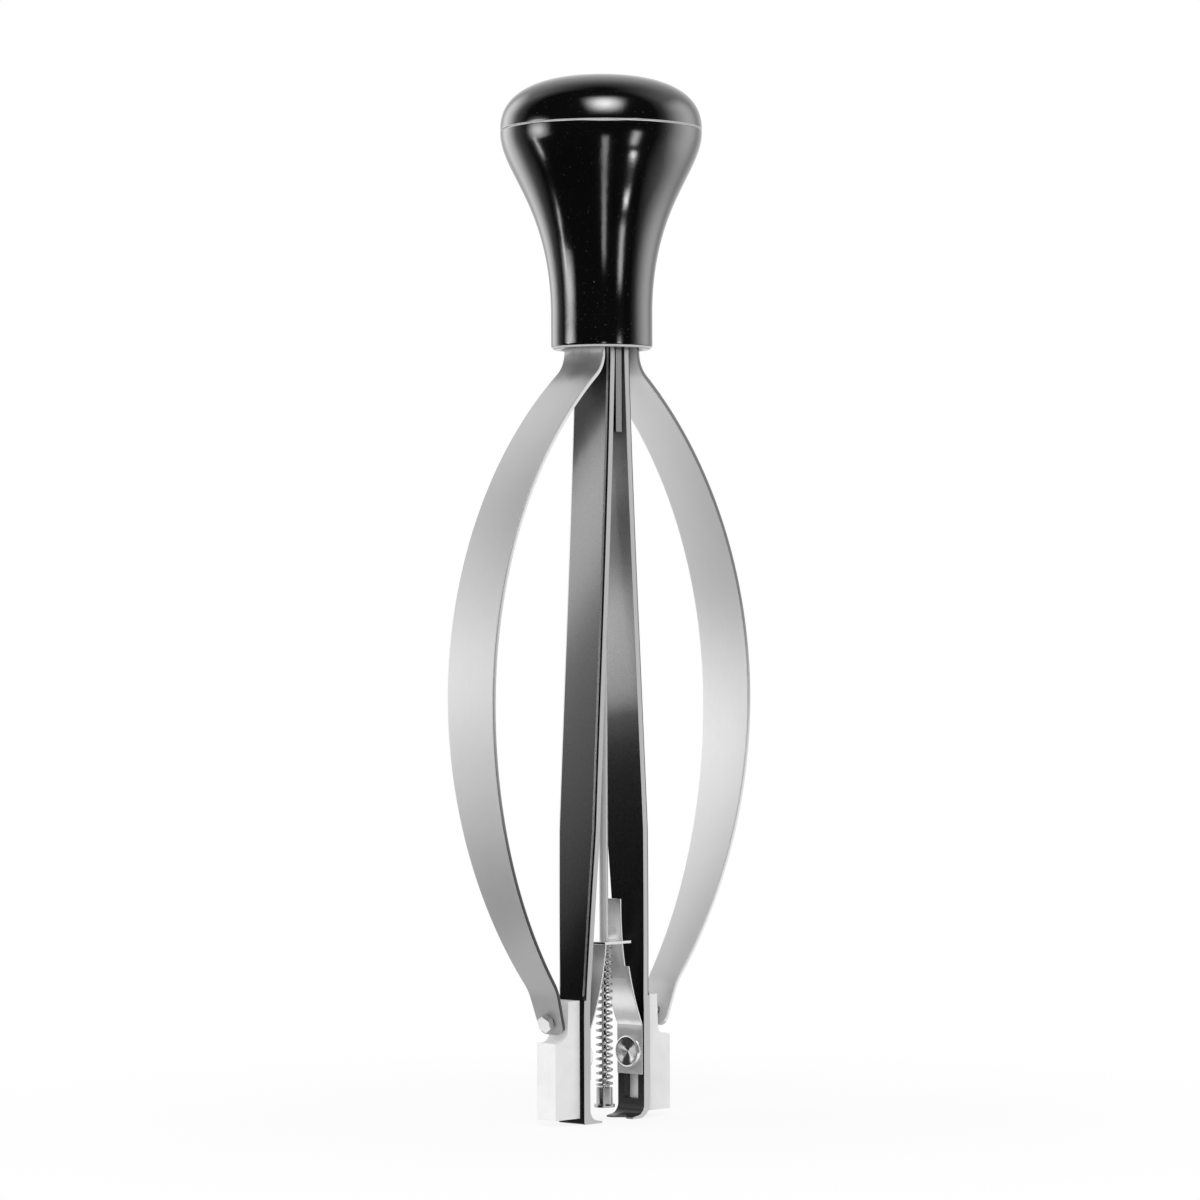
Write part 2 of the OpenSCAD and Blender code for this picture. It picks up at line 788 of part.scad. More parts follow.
module plunger_pin() {
    low = cup_z + arbor_depth;
    color("#d0d1d3") {
        translate([0, 0, low])
            cylinder(r = pin_r, h = tube_top_z + seat_gap - low, $fn = round_fn);
        translate([0, 0, tube_top_z + seat_gap])
            cylinder(r = tube_r - seat_gap, h = pin_head_h, $fn = round_fn);
    }
}

// Spring-loaded cup that rests on the end of the clock's arbor
module ejector_cup() {
    color("#d0d1d3")
        translate([0, 0, cup_z])
            rotate_extrude($fn = round_fn)
                polygon([
                    [arbor_r, 0],
                    [flange_r, 0],
                    [flange_r, flange_t],
                    [cup_r, flange_t],
                    [cup_r, cup_h],
                    [pin_r, cup_h],
                    [pin_r, arbor_depth],
                    [arbor_r, arbor_depth]
                ]);
}

// Height of the wire's middle after n turns, with one closed turn at each end
function coil_height(n) =
    let (
        low = cup_z + cup_h + wire_d / 2 + seat_gap,
        high = seat_z - wire_d / 2 - seat_gap,
        closed = wire_d + 0.04,
        pitch = (high - low - 2 * closed) / (coil_turns - 2)
    )
    n < 1 ? low + closed * n
        : n > coil_turns - 1 ? high - closed * (coil_turns - n)
        : low + closed + pitch * (n - 1);

module coil_spring() {
    sides = 6;
    per_turn = 14;
    rings = coil_turns * per_turn;
    points = [
        for (i = [0 : rings], k = [0 : sides - 1])
            let (
                turn = i / per_turn,
                a = 360 * turn,
                b = 360 * k / sides,
                r = coil_r + wire_d / 2 * cos(b)
            )
            [r * cos(a), r * sin(a), coil_height(turn) + wire_d / 2 * sin(b)]
    ];
    walls = [
        for (i = [0 : rings - 1], k = [0 : sides - 1])
            let (n = (k + 1) % sides)
            [i * sides + k, i * sides + n, (i + 1) * sides + n, (i + 1) * sides + k]
    ];
    first = [for (k = [sides - 1 : -1 : 0]) k];
    last = [for (k = [0 : sides - 1]) rings * sides + k];
    color("#a9aaac")
        polyhedron(points = points, faces = concat(walls, [first], [last]));
}

handle_body();
handle_cap();
handle_nut();
handle_washer();
tang();
root_rivets();
left_spacer();
right_spacer();
guide_tube();
spring_seat();
plunger_pin();
ejector_cup();
coil_spring();
left_arm();
right_arm();
left_block();
right_block();
left_leaf();
right_leaf();
left_guide_screw();
right_guide_screw();
left_bow_bolt();
right_bow_bolt();
left_bow_root();
right_bow_root();
left_bow_upper();
right_bow_upper();
left_bow_lower();
right_bow_lower();
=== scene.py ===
import json
import math

import bmesh
import bpy
from mathutils import Matrix, Vector

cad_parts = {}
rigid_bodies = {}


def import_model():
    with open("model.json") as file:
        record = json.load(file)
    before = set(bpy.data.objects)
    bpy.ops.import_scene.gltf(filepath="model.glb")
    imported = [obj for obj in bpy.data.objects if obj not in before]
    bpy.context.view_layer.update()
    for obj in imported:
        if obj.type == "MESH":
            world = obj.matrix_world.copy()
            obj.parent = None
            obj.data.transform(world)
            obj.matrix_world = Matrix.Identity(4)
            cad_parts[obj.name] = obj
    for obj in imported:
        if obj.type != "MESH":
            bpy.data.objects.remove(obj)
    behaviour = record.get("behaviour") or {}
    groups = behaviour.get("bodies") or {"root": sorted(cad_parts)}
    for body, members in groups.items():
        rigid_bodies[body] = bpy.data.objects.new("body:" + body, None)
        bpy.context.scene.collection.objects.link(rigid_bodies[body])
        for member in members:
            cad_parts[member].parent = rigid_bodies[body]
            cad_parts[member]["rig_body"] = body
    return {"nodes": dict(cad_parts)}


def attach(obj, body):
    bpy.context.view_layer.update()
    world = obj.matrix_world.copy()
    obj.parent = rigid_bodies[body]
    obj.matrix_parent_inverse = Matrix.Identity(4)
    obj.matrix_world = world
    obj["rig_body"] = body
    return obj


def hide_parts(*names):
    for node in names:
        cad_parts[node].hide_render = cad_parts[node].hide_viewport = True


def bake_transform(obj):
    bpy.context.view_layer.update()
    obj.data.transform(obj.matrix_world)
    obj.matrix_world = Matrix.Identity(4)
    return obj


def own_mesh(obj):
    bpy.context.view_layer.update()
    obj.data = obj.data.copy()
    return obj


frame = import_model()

MM = 0.001
NODES = frame["nodes"]
SCENE = bpy.context.scene
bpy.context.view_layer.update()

# Sizes of the CAD model and of the finish that is added to it, with lengths in millimetres
SEAT_GAP = 0.02

MOUTH_Z = 138.0
SEAM_Z = 177.3
CROWN_Z = 187.0
KNOB_R = 18.1
CROWN_H = 10.0
CROWN_POWER = 2.5
WIDE_Z = CROWN_Z - CROWN_H
NECK_R = 9.1
NECK_TOP_Z = MOUTH_Z + 7.1
SOCKET_R = 7.2
SOCKET_TOP_Z = 159.0
HOLLOW_R = 8.0
WEB_TOP_Z = 164.0
CAP_WALL = 2.4
SPIGOT_H = 3
SEAM_W = 0.25
MOUTH_EDGE = 0.25
STUD_R = 2

BOW_T = 0.88
BOW_OUT = 33.5
BOW_MID_Z = 75.0
BOW_ROOT_X = 4.5
BOW_PIVOT_Z = 140.0
ROOT_BEND = (10.0, 137.36)
ROOT_BEND_R = 5.5
FOOT_BEND_R = 9.0
FOOT_BEND_RISE = 4.26
BOLT = (13.9, 18.6)
BOLT_LEAN = math.radians(18)
BOW_TAIL = 2.4
BOW_CORNER_R = 1.4
BOW_HOLE_R = 1.2
BOW_W, BOW_WIDE_Z, BOW_ROOT_W, BOW_FOOT_W = 11.1, 82.0, 9.3, 6.0

SCREW_Z = 11.9
SCREW_HEAD_R = 2.85
SCREW_FACE_X = 5.84
SCREW_DISH, SCREW_DISH_R = 0.45, 2.42
SCREW_RIM_R, SCREW_RIM_SOFT = 2.48, 0.06
SHANK_R = 1.6
THREAD_R, THREAD_LEN = 1.25, 4
LEAF_FACE_X = 6.64
BLOCK_X = 8.78

CHAMFER = 0.5
CHAMFER_MIN_Y, CHAMFER_MIN_Z = 2.8, 22.0
HOOK_TOP_Z = 3.5

# Angles in degrees: from which an edge is broken or kept sharp, and within which faces count as flat
BEVEL_FROM, CHAMFERED_BEVEL_FROM = 32, 46
CHAMFERED_SHARP_FROM = 18
FLAT_WITHIN = 0.05

COIL_R = 1.33
WIRE_R = 0.225
COIL_TURNS = 21
COIL_LOW, COIL_HIGH = 5.9, 31.6

TUBE_R, TUBE_BORE_R = 0.8, 0.54
TUBE_LOW, TUBE_HIGH = 31.6, 144.0


# ---------------------------------------------------------------- materials

GAMMA = 2.2
DARKEST_SHADE = 0.02
NOISE_ROUGHNESS = 0.55
METRES_TO_MM = 1000


def add_node(tree, kind, **settings):
    node = tree.nodes.new(kind)
    for key, value in settings.items():
        setattr(node, key, value)
    return node


class Nodes:
    """Builds one procedural material, with its coordinates in millimetres."""

    def __init__(self, name):
        self.material = bpy.data.materials.new(name)
        self.material.use_nodes = True
        self.tree = self.material.node_tree
        self.shader = self.tree.nodes["Principled BSDF"]
        coords = self.add("ShaderNodeTexCoord")
        scale = self.add("ShaderNodeVectorMath", operation="SCALE")
        scale.inputs["Scale"].default_value = METRES_TO_MM
        self.link(coords.outputs["Object"], scale.inputs[0])
        self.position = scale.outputs[0]

    def add(self, kind, **settings):
        return add_node(self.tree, kind, **settings)

    def link(self, a, b):
        self.tree.links.new(a, b)

    def set(self, **values):
        for key, value in values.items():
            self.shader.inputs[key.replace("_", " ")].default_value = value

    def stretched(self, stretch):
        node = self.add("ShaderNodeVectorMath", operation="MULTIPLY")
        node.inputs[1].default_value = stretch
        self.link(self.position, node.inputs[0])
        return node.outputs[0]

    def noise(self, stretch, detail):
        node = self.add("ShaderNodeTexNoise")
        node.inputs["Scale"].default_value = 1.0
        node.inputs["Detail"].default_value = detail
        node.inputs["Roughness"].default_value = NOISE_ROUGHNESS
        self.link(self.stretched(stretch), node.inputs["Vector"])
        return node.outputs["Fac"]

    def ramp(self, value, low, high, out_low, out_high, smooth=False):
        node = self.add("ShaderNodeMapRange", interpolation_type="SMOOTHSTEP" if smooth else "LINEAR")
        for key, number in (("From Min", low), ("From Max", high), ("To Min", out_low), ("To Max", out_high)):
            node.inputs[key].default_value = number
        self.link(value, node.inputs["Value"])
        return node.outputs["Result"]

    def math(self, operation, a, b=0):
        node = self.add("ShaderNodeMath", operation=operation)
        for i, value in enumerate((a, b)):
            if isinstance(value, (int, float)):
                node.inputs[i].default_value = value
            else:
                self.link(value, node.inputs[i])
        return node.outputs[0]

    def axis(self, name):
        node = self.add("ShaderNodeSeparateXYZ")
        self.link(self.position, node.inputs[0])
        return node.outputs[name]

    def curve(self, value, points):
        """A smooth function of value, given as (position, result) pairs."""
        low, high = points[0][0], points[-1][0]
        node = self.add("ShaderNodeFloatCurve")
        line = node.mapping.curves[0]
        line.points[0].location = (0, points[0][1])
        line.points[-1].location = (1, points[-1][1])
        for x, y in points[1:-1]:
            line.points.new((x - low) / (high - low), y)
        node.mapping.update()
        self.link(self.ramp(value, low, high, 0, 1), node.inputs["Value"])
        return node.outputs["Value"]

    def colour(self, factor, dark, light):
        node = self.add("ShaderNodeMix", data_type="RGBA")
        node.inputs["A"].default_value = (*dark, 1)
        node.inputs["B"].default_value = (*light, 1)
        self.link(factor, node.inputs["Factor"])
        self.link(node.outputs["Result"], self.shader.inputs["Base Color"])

    def roughness(self, factor, low, high):
        self.link(self.ramp(factor, 0.3, 0.7, low, high), self.shader.inputs["Roughness"])

    def bump(self, height, strength, distance_mm):
        node = self.add("ShaderNodeBump")
        node.inputs["Strength"].default_value = strength
        node.inputs["Distance"].default_value = distance_mm * MM
        self.link(height, node.inputs["Height"])
        self.link(node.outputs["Normal"], self.shader.inputs["Normal"])


def grey(value, warm=0.0):
    return (value * (1 + warm), value, value * (1 - warm))


def knob_plastic(name):
    """Polished black moulding with a faint ripple and dust, and a painted highlight along the parting line
    and along the rim.
    """
    m = Nodes(name)
    cloud = m.noise((0.09, 0.09, 0.09), 4)
    specks = m.ramp(m.noise((3.1, 3.1, 3.1), 2), 0.69, 0.76, 0, 1)
    height = m.axis("Z")
    # The bands at the seam and at the mouth's rim are a painted highlight, a little rougher than the rest.
    seam = m.math("ABSOLUTE", m.math("SUBTRACT", height, SEAM_Z))
    rim = m.math("ABSOLUTE", m.math("SUBTRACT", height, MOUTH_Z + MOUTH_EDGE))
    painted_glint = m.math("MAXIMUM", m.ramp(seam, 0.1, 0.2, 1, 0, True), m.ramp(rim, 0.14, 0.22, 1, 0, True))
    dust_tone, painted_glint_rough = 0.1, 0.45
    tone = m.math("MAXIMUM", m.math("MULTIPLY", specks, dust_tone), painted_glint)
    m.colour(tone, grey(0.0015), grey(0.42))
    rough = m.ramp(cloud, 0.3, 0.7, 0.09, 0.15)
    m.link(m.math("MAXIMUM", rough, m.math("MULTIPLY", painted_glint, painted_glint_rough)), m.shader.inputs["Roughness"])
    m.set(IOR=1.52)
    m.bump(m.noise((0.55, 0.55, 0.55), 2), 0.05, 0.25)
    return m.material


def strip_steel(name, tone, slant=0.0, wander=2.0, metallic=0.85, rough=0.3, grain=(5, 5, 0.5),
                contrast=0.05):
    """Spring steel strip with light, shade and reflections painted into its colour along Z, as tone says in
    (height, shade) pairs.

    Slant tilts the bands across the strip, and wander is how far they stray along it.
    """
    m = Nodes(name)
    lines = m.noise(grain, 4)
    cloud = m.noise((0.3, 0.3, 0.12), 3)
    height = m.math("ADD", m.axis("Z"), m.math("MULTIPLY", m.axis("Y"), slant))
    height = m.math("ADD", height, m.math("MULTIPLY", m.math("SUBTRACT", cloud, 0.5), wander))
    # The curve is painted light, shade and reflections; the fine lines added to it are the steel's own grain.
    shade = m.math("ADD", m.curve(height, tone), m.math("MULTIPLY", m.math("SUBTRACT", lines, 0.5), contrast))
    shade = m.math("MAXIMUM", shade, DARKEST_SHADE)
    m.link(m.math("POWER", shade, GAMMA), m.shader.inputs["Base Color"])
    m.roughness(lines, rough - 0.04, rough + 0.05)
    m.set(Metallic=metallic)
    m.bump(lines, 0.08, 0.01)
    return m.material


def polished(name, level, low, high, stretch=(7, 7, 0.4), bump=0.05, metallic=1.0):
    """Bright steel with fine drawn lines and slight handling marks."""
    m = Nodes(name)
    grain = m.noise(stretch, 4)
    smear = m.noise((0.5, 0.5, 0.35), 3)
    mixed = m.math("ADD", m.math("MULTIPLY", grain, 0.5), m.math("MULTIPLY", smear, 0.5))
    m.colour(m.ramp(mixed, 0.3, 0.7, 0, 1), grey(level * 0.88), grey(level))
    m.roughness(mixed, low, high)
    m.set(Metallic=metallic)
    m.bump(grain, bump, 0.01)
    return m.material


def turned(name):
    """Polished screw head, turned round its axis along X, with painted fans of glints inside a painted bright
    rim.
    """
    m = Nodes(name)
    across, up = m.axis("Y"), m.math("SUBTRACT", m.axis("Z"), SCREW_Z)
    around = m.math("ARCTAN2", up, across)
    radius = m.math("SQRT", m.math("ADD", m.math("MULTIPLY", across, across), m.math("MULTIPLY", up, up)))
    smear = m.noise((0.8, 0.8, 0.8), 3)
    # The fans and the rim are painted reflections of the turned face.
    wide_fans, narrow_fans, narrow_share, waver = 2.0, 5.0, 0.35, 3.0
    bent = m.math("ADD", m.math("MULTIPLY", around, wide_fans), m.math("MULTIPLY", smear, waver))
    wide = m.math("SINE", bent)
    narrow = m.math("SINE", m.math("MULTIPLY", around, narrow_fans))
    fans = m.math("ADD", wide, m.math("MULTIPLY", narrow, narrow_share))
    rim = m.ramp(radius, SCREW_RIM_R, SCREW_RIM_R + SCREW_RIM_SOFT, 0, 1)
    shade = m.math("MAXIMUM", m.ramp(fans, -0.7, 0.9, 0, 0.9, True), rim)
    m.colour(shade, grey(0.03), grey(0.9))
    m.roughness(smear, 0.16, 0.24)
    m.set(Metallic=0.8)
    return m.material


def white_plastic(name, level):
    """Matte white moulding with a fine spark-eroded texture."""
    m = Nodes(name)
    fine = m.noise((5, 5, 5), 3)
    cloud = m.noise((0.2, 0.2, 0.2), 3)
    m.colour(m.ramp(cloud, 0.3, 0.7, 0, 1), grey(level, 0.004), grey(min(1, level + 0.08)))
    m.roughness(fine, 0.34, 0.46)
    m.set(IOR=1.49)
    m.bump(fine, 0.12, 0.03)
    return m.material


SPECKLE = (7, 7, 2)
KNOB_BLACK = knob_plastic("knob_black")
# Painted light and shade down the bows' faces, with a painted shadow under the knob's rim at the left bow's
# root.
LEFT_BOW = strip_steel("left_bow_satin", [
    (15, 0.64), (35, 0.7), (68, 0.9), (105, 0.73), (131, 0.75), (134.5, 0.5), (137.5, 0.8)],
    metallic=0.4, rough=0.42, grain=(9, 9, 0.3), contrast=0.06)
RIGHT_BOW = strip_steel("right_bow_satin", [(15, 0.8), (45, 0.84), (78, 0.94), (101, 0.83), (136, 0.93)],
    metallic=0.4, rough=0.42, grain=(9, 9, 0.3), contrast=0.06)
# Painted highlights and shade down the bows' narrow edges: the left edge darker low down, the right one
# lighter.
LEFT_BOW_EDGE = strip_steel("left_bow_edge", [
    (15, 0.34), (40, 0.36), (62, 0.6), (90, 0.85), (120, 0.95), (136, 0.9)])
RIGHT_BOW_EDGE = strip_steel("right_bow_edge", [
    (15, 0.92), (60, 0.9), (80, 0.72), (95, 0.55), (136, 0.55)])
# Painted reflections down the arms: light and dark runs painted into the colour.
LEFT_ARM_REFLECTIONS = strip_steel("left_arm_steel", [
    (0, 0.1), (25, 0.1), (40, 0.24), (80, 0.4), (110, 0.65), (119, 0.58), (129, 0.27), (138, 0.5)],
    slant=1.2, grain=SPECKLE, contrast=0.12)
RIGHT_ARM_REFLECTIONS = strip_steel("right_arm_steel", [
    (0, 0.5), (3, 0.2), (55, 0.2), (71, 0.45), (78, 0.85), (88, 0.9), (106, 0.58), (115, 0.72), (138, 0.66)],
    slant=0.1, grain=SPECKLE, contrast=0.12)
# Painted highlights and shade down the leaf springs, brightest at their bends.
LEFT_LEAF = strip_steel("left_leaf_steel", [
    (7, 0.7), (20, 0.8), (25, 0.86), (27.5, 0.97), (30, 0.8), (33, 0.7)],
    wander=1.0, metallic=0.45, rough=0.2, contrast=0.08)
RIGHT_LEAF = strip_steel("right_leaf_steel", [
    (7, 0.74), (15.5, 0.78), (16.7, 0.97), (18, 0.74), (21, 0.95), (25, 0.72), (28, 0.78), (31, 0.97),
    (34, 0.97), (37, 0.85), (40, 0.4)],
    wander=0.8, metallic=0.45, rough=0.2, contrast=0.08)
GROUND_EDGE = polished("ground_edge", 0.66, 0.3, 0.4)
# Bright edge steel; on the arms it is a painted highlight along the light facets.
BRIGHT_EDGE = polished("bright_edge", 0.85, 0.2, 0.3)
# Painted shade, for the arms' slots and the dark facets along their outer faces.
PAINTED_SHADE_STEEL = polished("painted_shade_steel", 0.1, 0.3, 0.4)
CHROME = polished("chrome", 0.8, 0.08, 0.14, stretch=(3, 3, 3), bump=0.02)
ROD_STEEL = polished("rod_steel", 0.8, 0.16, 0.22, stretch=(6, 6, 0.3), metallic=0.35)
COIL_STEEL = polished("coil_steel", 0.5, 0.16, 0.24, stretch=(3, 3, 3), bump=0.02)
TANG_STEEL = polished("tang_steel", 0.32, 0.22, 0.34)
BOLT_BRIGHT = polished("bolt_bright", 0.93, 0.2, 0.3, stretch=(4, 4, 4))
SCREW_BRIGHT = turned("screw_bright")
FOOT_WHITE = white_plastic("foot_white", 0.82)
# A brighter white for the feet's bevels, a painted highlight along their edges.
FOOT_PAINTED_GLINT = white_plastic("foot_painted_glint", 0.95)
INNER_STEEL = polished("inner_steel", 0.2, 0.3, 0.4)


# ------------------------------------------------------------ mesh helpers

# Places of the materials on a piece that has several; on an arm, DARK holds painted shade and LIGHT a painted
# highlight
FACE, SIDE, DARK, LIGHT = range(4)
# How much of a face's normal lies along an axis, where the face counts as looking that way
LOOKS_ALONG, LOOKS_STRAIGHT, BOW_SIDE_LOOKS, SLOT_WALL_LOOKS = 0.8, 0.9, 0.85, 0.6
# In metres
SAME_POINT = 1e-6


def keep(obj, material, body, nodes, angle=35):
    """Gives a new piece its material and smooth faces, puts it on the body it rides on, if any, and hides the
    CAD nodes it stands for.
    """
    mesh = obj.data
    mesh.materials.clear()
    mesh.materials.append(material)
    mesh.shade_smooth()
    mesh.set_sharp_from_angle(angle=math.radians(angle))
    if body:
        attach(obj, body)
    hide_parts(*nodes)


def new_object(name, verts, faces):
    """A new mesh object, from points in millimetres."""
    mesh = bpy.data.meshes.new(name)
    mesh.from_pydata([Vector(v) * MM for v in verts], [], faces)
    mesh.update()
    obj = bpy.data.objects.new(name, mesh)
    SCENE.collection.objects.link(obj)
    return obj


def tidy(mesh, flat=0.0):
    """Joins doubled points, turns all faces outwards and merges faces that are flat to the given angle."""
    b = bmesh.new()
    b.from_mesh(mesh)
    bmesh.ops.remove_doubles(b, verts=b.verts, dist=SAME_POINT)
    bmesh.ops.recalc_face_normals(b, faces=b.faces)
    if flat:
        bmesh.ops.dissolve_limit(b, angle_limit=flat, verts=b.verts, edges=b.edges)
    b.to_mesh(mesh)
    b.free()


def apply_modifiers(obj):
    """Puts the result of the modifiers in place of the mesh."""
    graph = bpy.context.evaluated_depsgraph_get()
    mesh = bpy.data.meshes.new_from_object(obj.evaluated_get(graph))
    old = obj.data
    obj.modifiers.clear()
    obj.data = mesh
    bpy.data.meshes.remove(old)


def chamfer_outer_edges(mesh, sign):
    """Breaks the long edges of an arm's outer face: a facet with a painted highlight beside the face, then
    one with painted shade.
    """
    b = bmesh.new()
    b.from_mesh(mesh)
    edges = []
    for edge in b.edges:
        middle = (edge.verts[0].co + edge.verts[1].co) / 2 / MM
        if len(edge.link_faces) != 2 or abs(middle.y) < CHAMFER_MIN_Y or middle.z < CHAMFER_MIN_Z:
            continue
        normals = [face.normal for face in edge.link_faces]
        outward, sideways = max(n.x * sign for n in normals), max(abs(n.y) for n in normals)
        if min(outward, sideways) > LOOKS_STRAIGHT:
            edges.append(edge)
    made = bmesh.ops.bevel(b, geom=edges, offset=CHAMFER * MM, offset_type="OFFSET", segments=2, profile=0.5,
                           affect="EDGES")
    for face in made["faces"]:
        # The light facets take a painted highlight and the dark ones painted shade.
        face.material_index = LIGHT if face.normal.x * sign > abs(face.normal.y) else DARK
    b.to_mesh(mesh)
    b.free()


def dressed(name, node, materials, radius, segments=2, chamfer=0, edge=None):
    """A copy of a CAD node with its edges broken, as a tumbled or moulded piece has them.

    A second material goes on the narrow sides, which face along Y. A piece with two materials has the second
    one on its upper end as well. An arm has four: the third is painted shade, inside its slot and on the dark
    facets along its outer face, and the fourth is a painted highlight on the light ones. Chamfer is the side,
    -1 or 1, that an arm's outer face looks to. Edge is the material of the bevels, if they have one of their
    own.
    """
    source = NODES[node]
    obj = bpy.data.objects.new(name, source.data.copy())
    SCENE.collection.objects.link(obj)
    mesh = obj.data
    tidy(mesh, flat=math.radians(FLAT_WITHIN))
    mesh.materials.clear()
    for material in materials:
        mesh.materials.append(material)
    count = len(materials)
    for face in mesh.polygons:
        normal, centre = face.normal, face.center / MM
        side = count > 1 and abs(normal.y) > LOOKS_ALONG
        top = count == 2 and normal.z > LOOKS_ALONG
        # Faces inside an arm's slot take painted shade.
        inside = abs(centre.y) < CHAMFER_MIN_Y and centre.z > HOOK_TOP_Z and abs(normal.x) < SLOT_WALL_LOOKS
        face.material_index = DARK if count > 2 and inside else SIDE if side or top else FACE
    if chamfer:
        chamfer_outer_edges(mesh, chamfer)
    if edge:
        mesh.materials.append(edge)
    bevel = obj.modifiers.new("edges", "BEVEL")
    bevel.width = radius * MM
    bevel.segments = segments
    bevel.material = count if edge else -1
    bevel.limit_method = "ANGLE"
    bevel.angle_limit = math.radians(CHAMFERED_BEVEL_FROM if chamfer else BEVEL_FROM)
    bevel.use_clamp_overlap = True
    bevel.miter_outer = "MITER_ARC"
    weighted = obj.modifiers.new("normals", "WEIGHTED_NORMAL")
    weighted.keep_sharp = True
    if chamfer:
        mesh.shade_smooth()
        mesh.set_sharp_from_angle(angle=math.radians(CHAMFERED_SHARP_FROM))
    apply_modifiers(obj)
    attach(obj, source["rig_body"])
    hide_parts(node)
    return obj


def lathe(name, profile, segments):
    """Closed solid of revolution about Z from (radius, height) pairs that go round the section."""
    verts, rows = [], []
    for r, z in profile:
        if r == 0:
            rows.append([len(verts)] * segments)
            verts.append((0, 0, z))
        else:
            rows.append(list(range(len(verts), len(verts) + segments)))
            verts += [(r * math.cos(2 * math.pi * i / segments), r * math.sin(2 * math.pi * i / segments), z)
                      for i in range(segments)]
    faces = []
    closed = profile[0][0] > 0
    pairs = list(zip(rows, rows[1:])) + ([(rows[-1], rows[0])] if closed else [])
    for low, high in pairs:
        for i in range(segments):
            k = (i + 1) % segments
            ring = [low[i], low[k], high[k], high[i]]
            face = [v for n, v in enumerate(ring) if v != ring[n - 1]]
            if len(face) > 2:
                faces.append(face)
    obj = new_object(name, verts, faces)
    tidy(obj.data)
    return obj


# ------------------------------------------------------------------- knob

FLARE_STEPS, DOME_STEPS, KNOB_SEGMENTS = 60, 64, 160
DOME_SPACING = 1.15
# How far the control points of the flare's curve stand from its lower and upper end
FLARE_LEAN, FLARE_LOW_PULL, FLARE_HIGH_PULL = 0.28, 19, 7.2


def cubic(points, t):
    """Point at t on the cubic Bezier curve with these four control points."""
    weights = ((1 - t) ** 3, 3 * (1 - t) ** 2 * t, 3 * (1 - t) * t * t, t ** 3)
    return tuple(sum(w * p[i] for w, p in zip(weights, points)) for i in (0, 1))


def crown(t):
    """Point on the crown's superellipse, from its widest place at t = 0 to the top at t = 1."""
    a = math.radians(90 * t)
    return (KNOB_R * math.cos(a) ** (2 / CROWN_POWER), WIDE_Z + CROWN_H * math.sin(a) ** (2 / CROWN_POWER))


def make_knob():
    """The moulded knob, with its socket and its hollow, and the domed cap that closes it."""
    sweep = [(NECK_R, NECK_TOP_Z), (NECK_R + FLARE_LEAN, NECK_TOP_Z + FLARE_LOW_PULL),
             (KNOB_R, WIDE_Z - FLARE_HIGH_PULL), (KNOB_R, WIDE_Z)]
    flare = [cubic(sweep, i / FLARE_STEPS) for i in range(FLARE_STEPS + 1)]
    profile = [
        (SOCKET_R, MOUTH_Z + MOUTH_EDGE), (SOCKET_R + 0.08, MOUTH_Z + 0.07), (SOCKET_R + MOUTH_EDGE, MOUTH_Z),
        (NECK_R - 0.62, MOUTH_Z), (NECK_R - 0.45, MOUTH_Z + 0.04), (NECK_R - 0.12, MOUTH_Z + 0.42),
        (NECK_R - 0.03, MOUTH_Z + 0.6), (NECK_R, MOUTH_Z + 0.9), (NECK_R, MOUTH_Z + 4),
        *flare,
        (KNOB_R, SEAM_Z - 0.32), (KNOB_R - 0.04, SEAM_Z - 0.17), (KNOB_R - 0.16, SEAM_Z - 0.06),
        (KNOB_R - 0.3, SEAM_Z), (HOLLOW_R, SEAM_Z), (HOLLOW_R, WEB_TOP_Z),
        (STUD_R + SEAT_GAP, WEB_TOP_Z), (STUD_R + SEAT_GAP, SOCKET_TOP_Z), (SOCKET_R, SOCKET_TOP_Z)]
    body = lathe("knob_body", profile, KNOB_SEGMENTS)
    keep(body, KNOB_BLACK, "handle", ["handle_body"], 50)

    first = math.degrees(math.asin(((SEAM_Z + SEAM_W - WIDE_Z) / CROWN_H) ** (CROWN_POWER / 2))) / 90
    dome = [crown(first + (1 - first) * (i / DOME_STEPS) ** DOME_SPACING) for i in range(DOME_STEPS + 1)]
    inner, spigot_r, spigot_z = HOLLOW_R - CAP_WALL, HOLLOW_R - SEAT_GAP, SEAM_Z - SPIGOT_H
    profile = [
        (inner, spigot_z), (spigot_r, spigot_z), (spigot_r, SEAM_Z),
        (dome[0][0] - 0.3, SEAM_Z), (dome[0][0] - 0.14, SEAM_Z + 0.04), (dome[0][0] - 0.03, SEAM_Z + 0.14),
        *dome[:-1], (0, CROWN_Z)]
    under = CROWN_Z - CAP_WALL
    hollow = [(0, under), (inner - 1, under - 0.2), (inner, under - 1)]
    cap = lathe("knob_cap", hollow + profile, KNOB_SEGMENTS)
    keep(cap, KNOB_BLACK, "handle", ["handle_cap"], 50)


# ------------------------------------------------------------------- bows

BEND_STEPS, SPAN_STEPS = 14, 80


def arc(centre, radius, start, stop, steps):
    """Points along an arc, with both its ends."""
    return [(centre[0] + radius * math.cos(start + (stop - start) * i / steps),
             centre[1] + radius * math.sin(start + (stop - start) * i / steps)) for i in range(steps + 1)]


def bow_radius(centre, r):
    """Radius of the long arc that is upright at the bow's widest point and meets a bend smoothly."""
    a, h = centre[0] - BOW_OUT, centre[1] - BOW_MID_Z
    return (a * a + h * h - r * r) / (2 * (r - a))


